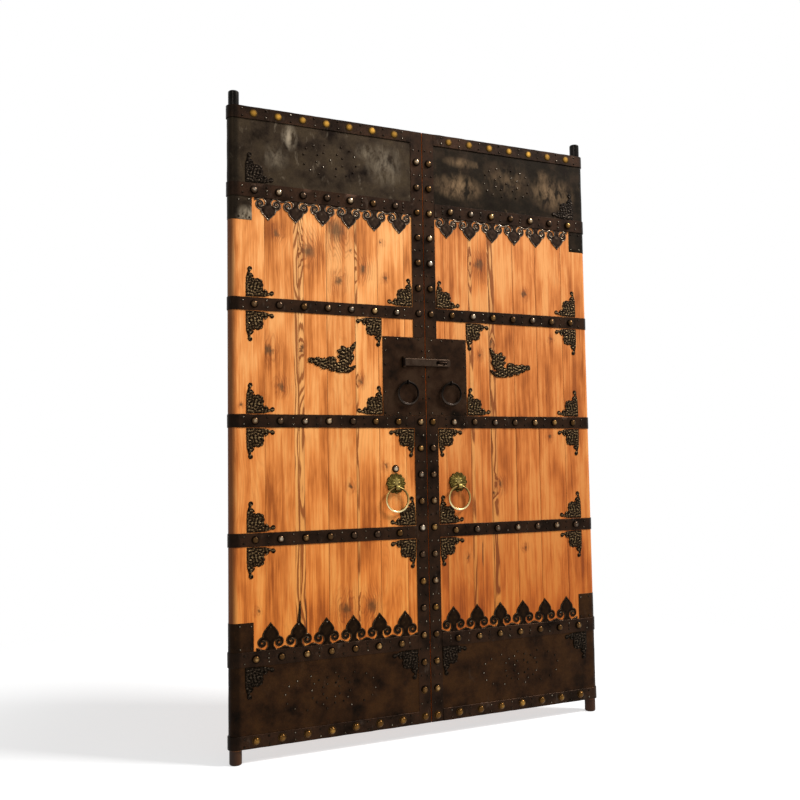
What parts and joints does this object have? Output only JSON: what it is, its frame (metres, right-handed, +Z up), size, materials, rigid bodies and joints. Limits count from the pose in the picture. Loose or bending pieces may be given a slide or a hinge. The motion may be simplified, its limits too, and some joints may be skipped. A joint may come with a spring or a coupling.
{
  "type": "pair of iron-clad plank gate leaves",
  "caption": "Pair of heavy plank door leaves with riveted iron straps, a lock plate with hasp, ring pulls and knockers, turning on round pivot pins.",
  "frame": {"origin": "left pivot axis at the shoulder of the lower pin, level with the bottom edge of the leaves", "axes": "+X along the closed gate from the left leaf to the right one, +Y through the gate to the inner side, +Z up along the pivots"},
  "size_m": [1.571, 0.1, 2.412],
  "materials": {
    "board_wood": "oiled old pine, orange tan with knots and dark joints",
    "batten_wood": "plain old pine",
    "sheet_iron": "black brown sheet iron with worn tan scuffs",
    "strap_iron": "black brown forged strap",
    "plate_iron": "dark brown sheet, satin",
    "sleeve_iron": "black, half gloss",
    "ring_iron": "black iron, hand worn",
    "filigree_iron": "dark brown pierced sheet",
    "stud_brass": "dark brass patina with worn bright tops",
    "disc_brass": "worn yellow brass",
    "knocker_brass": "dull yellow brass"
  },
  "bodies": {
    "left_leaf": {"left_hinge_stile": "board_wood", "left_pin_sleeve": "sleeve_iron", "left_plank_1": "board_wood", "left_plank_2": "board_wood", "left_plank_3": "board_wood", "left_plank_4": "board_wood", "left_plank_5": "board_wood", "left_meeting_stile": "board_wood", "left_back_battens": "batten_wood", "left_top_sheet": "sheet_iron", "left_bottom_sheet": "sheet_iron", "left_top_edge_strap": "strap_iron", "left_top_sheet_strap": "strap_iron", "left_upper_strap": "strap_iron", "left_middle_strap": "strap_iron", "left_lower_strap": "strap_iron", "left_bottom_sheet_strap": "strap_iron", "left_bottom_edge_strap": "strap_iron", "left_meeting_strap": "strap_iron", "left_lock_plate": "plate_iron", "left_iron_studs": "stud_brass", "left_corner_brackets": "filigree_iron", "left_winged_ornament": "filigree_iron", "left_knocker_mask": "knocker_brass", "left_pull_eye": "ring_iron", "left_brass_discs": "disc_brass", "hasp_hinge": "ring_iron"},
    "right_leaf": {"right_hinge_stile": "board_wood", "right_pin_sleeve": "sleeve_iron", "right_plank_1": "board_wood", "right_plank_2": "board_wood", "right_plank_3": "board_wood", "right_plank_4": "board_wood", "right_plank_5": "board_wood", "right_meeting_stile": "board_wood", "right_back_battens": "batten_wood", "right_top_sheet": "sheet_iron", "right_bottom_sheet": "sheet_iron", "right_top_edge_strap": "strap_iron", "right_top_sheet_strap": "strap_iron", "right_upper_strap": "strap_iron", "right_middle_strap": "strap_iron", "right_lower_strap": "strap_iron", "right_bottom_sheet_strap": "strap_iron", "right_bottom_edge_strap": "strap_iron", "right_meeting_strap": "strap_iron", "right_lock_plate": "plate_iron", "right_iron_studs": "stud_brass", "right_corner_brackets": "filigree_iron", "right_winged_ornament": "filigree_iron", "right_knocker_mask": "knocker_brass", "right_pull_eye": "ring_iron", "right_brass_discs": "disc_brass", "hasp_staple": "ring_iron"},
    "hasp": {"hasp": "ring_iron"},
    "left_pull_ring": {"left_pull_ring": "ring_iron"},
    "right_pull_ring": {"right_pull_ring": "ring_iron"},
    "left_knocker_ring": {"left_knocker_ring": "knocker_brass"},
    "right_knocker_ring": {"right_knocker_ring": "knocker_brass"}
  },
  "joints": [
    {"name": "right_leaf_swing", "type": "hinge", "parent": "left_leaf", "child": "right_leaf", "pos_m": [1.514, 0, 0], "axis": [0, 0, -1], "range_deg": [0, 100]},
    {"name": "hasp_swing", "type": "hinge", "parent": "left_leaf", "child": "hasp", "pos_m": [0.661, -0.0335, 1.3785], "axis": [0, 0, -1], "range_deg": [0, 165]},
    {"name": "left_pull_lift", "type": "hinge", "parent": "left_leaf", "child": "left_pull_ring", "pos_m": [0.676, -0.037, 1.2995], "axis": [-1, 0, 0], "range_deg": [0, 110]},
    {"name": "right_pull_lift", "type": "hinge", "parent": "right_leaf", "child": "right_pull_ring", "pos_m": [0.865, -0.037, 1.2995], "axis": [-1, 0, 0], "range_deg": [0, 110]},
    {"name": "left_knocker_lift", "type": "hinge", "parent": "left_leaf", "child": "left_knocker_ring", "pos_m": [0.622, -0.0385, 0.895], "axis": [-1, 0, 0], "range_deg": [0, 100]},
    {"name": "right_knocker_lift", "type": "hinge", "parent": "right_leaf", "child": "right_knocker_ring", "pos_m": [0.892, -0.0385, 0.895], "axis": [-1, 0, 0], "range_deg": [0, 100]}
  ]
}
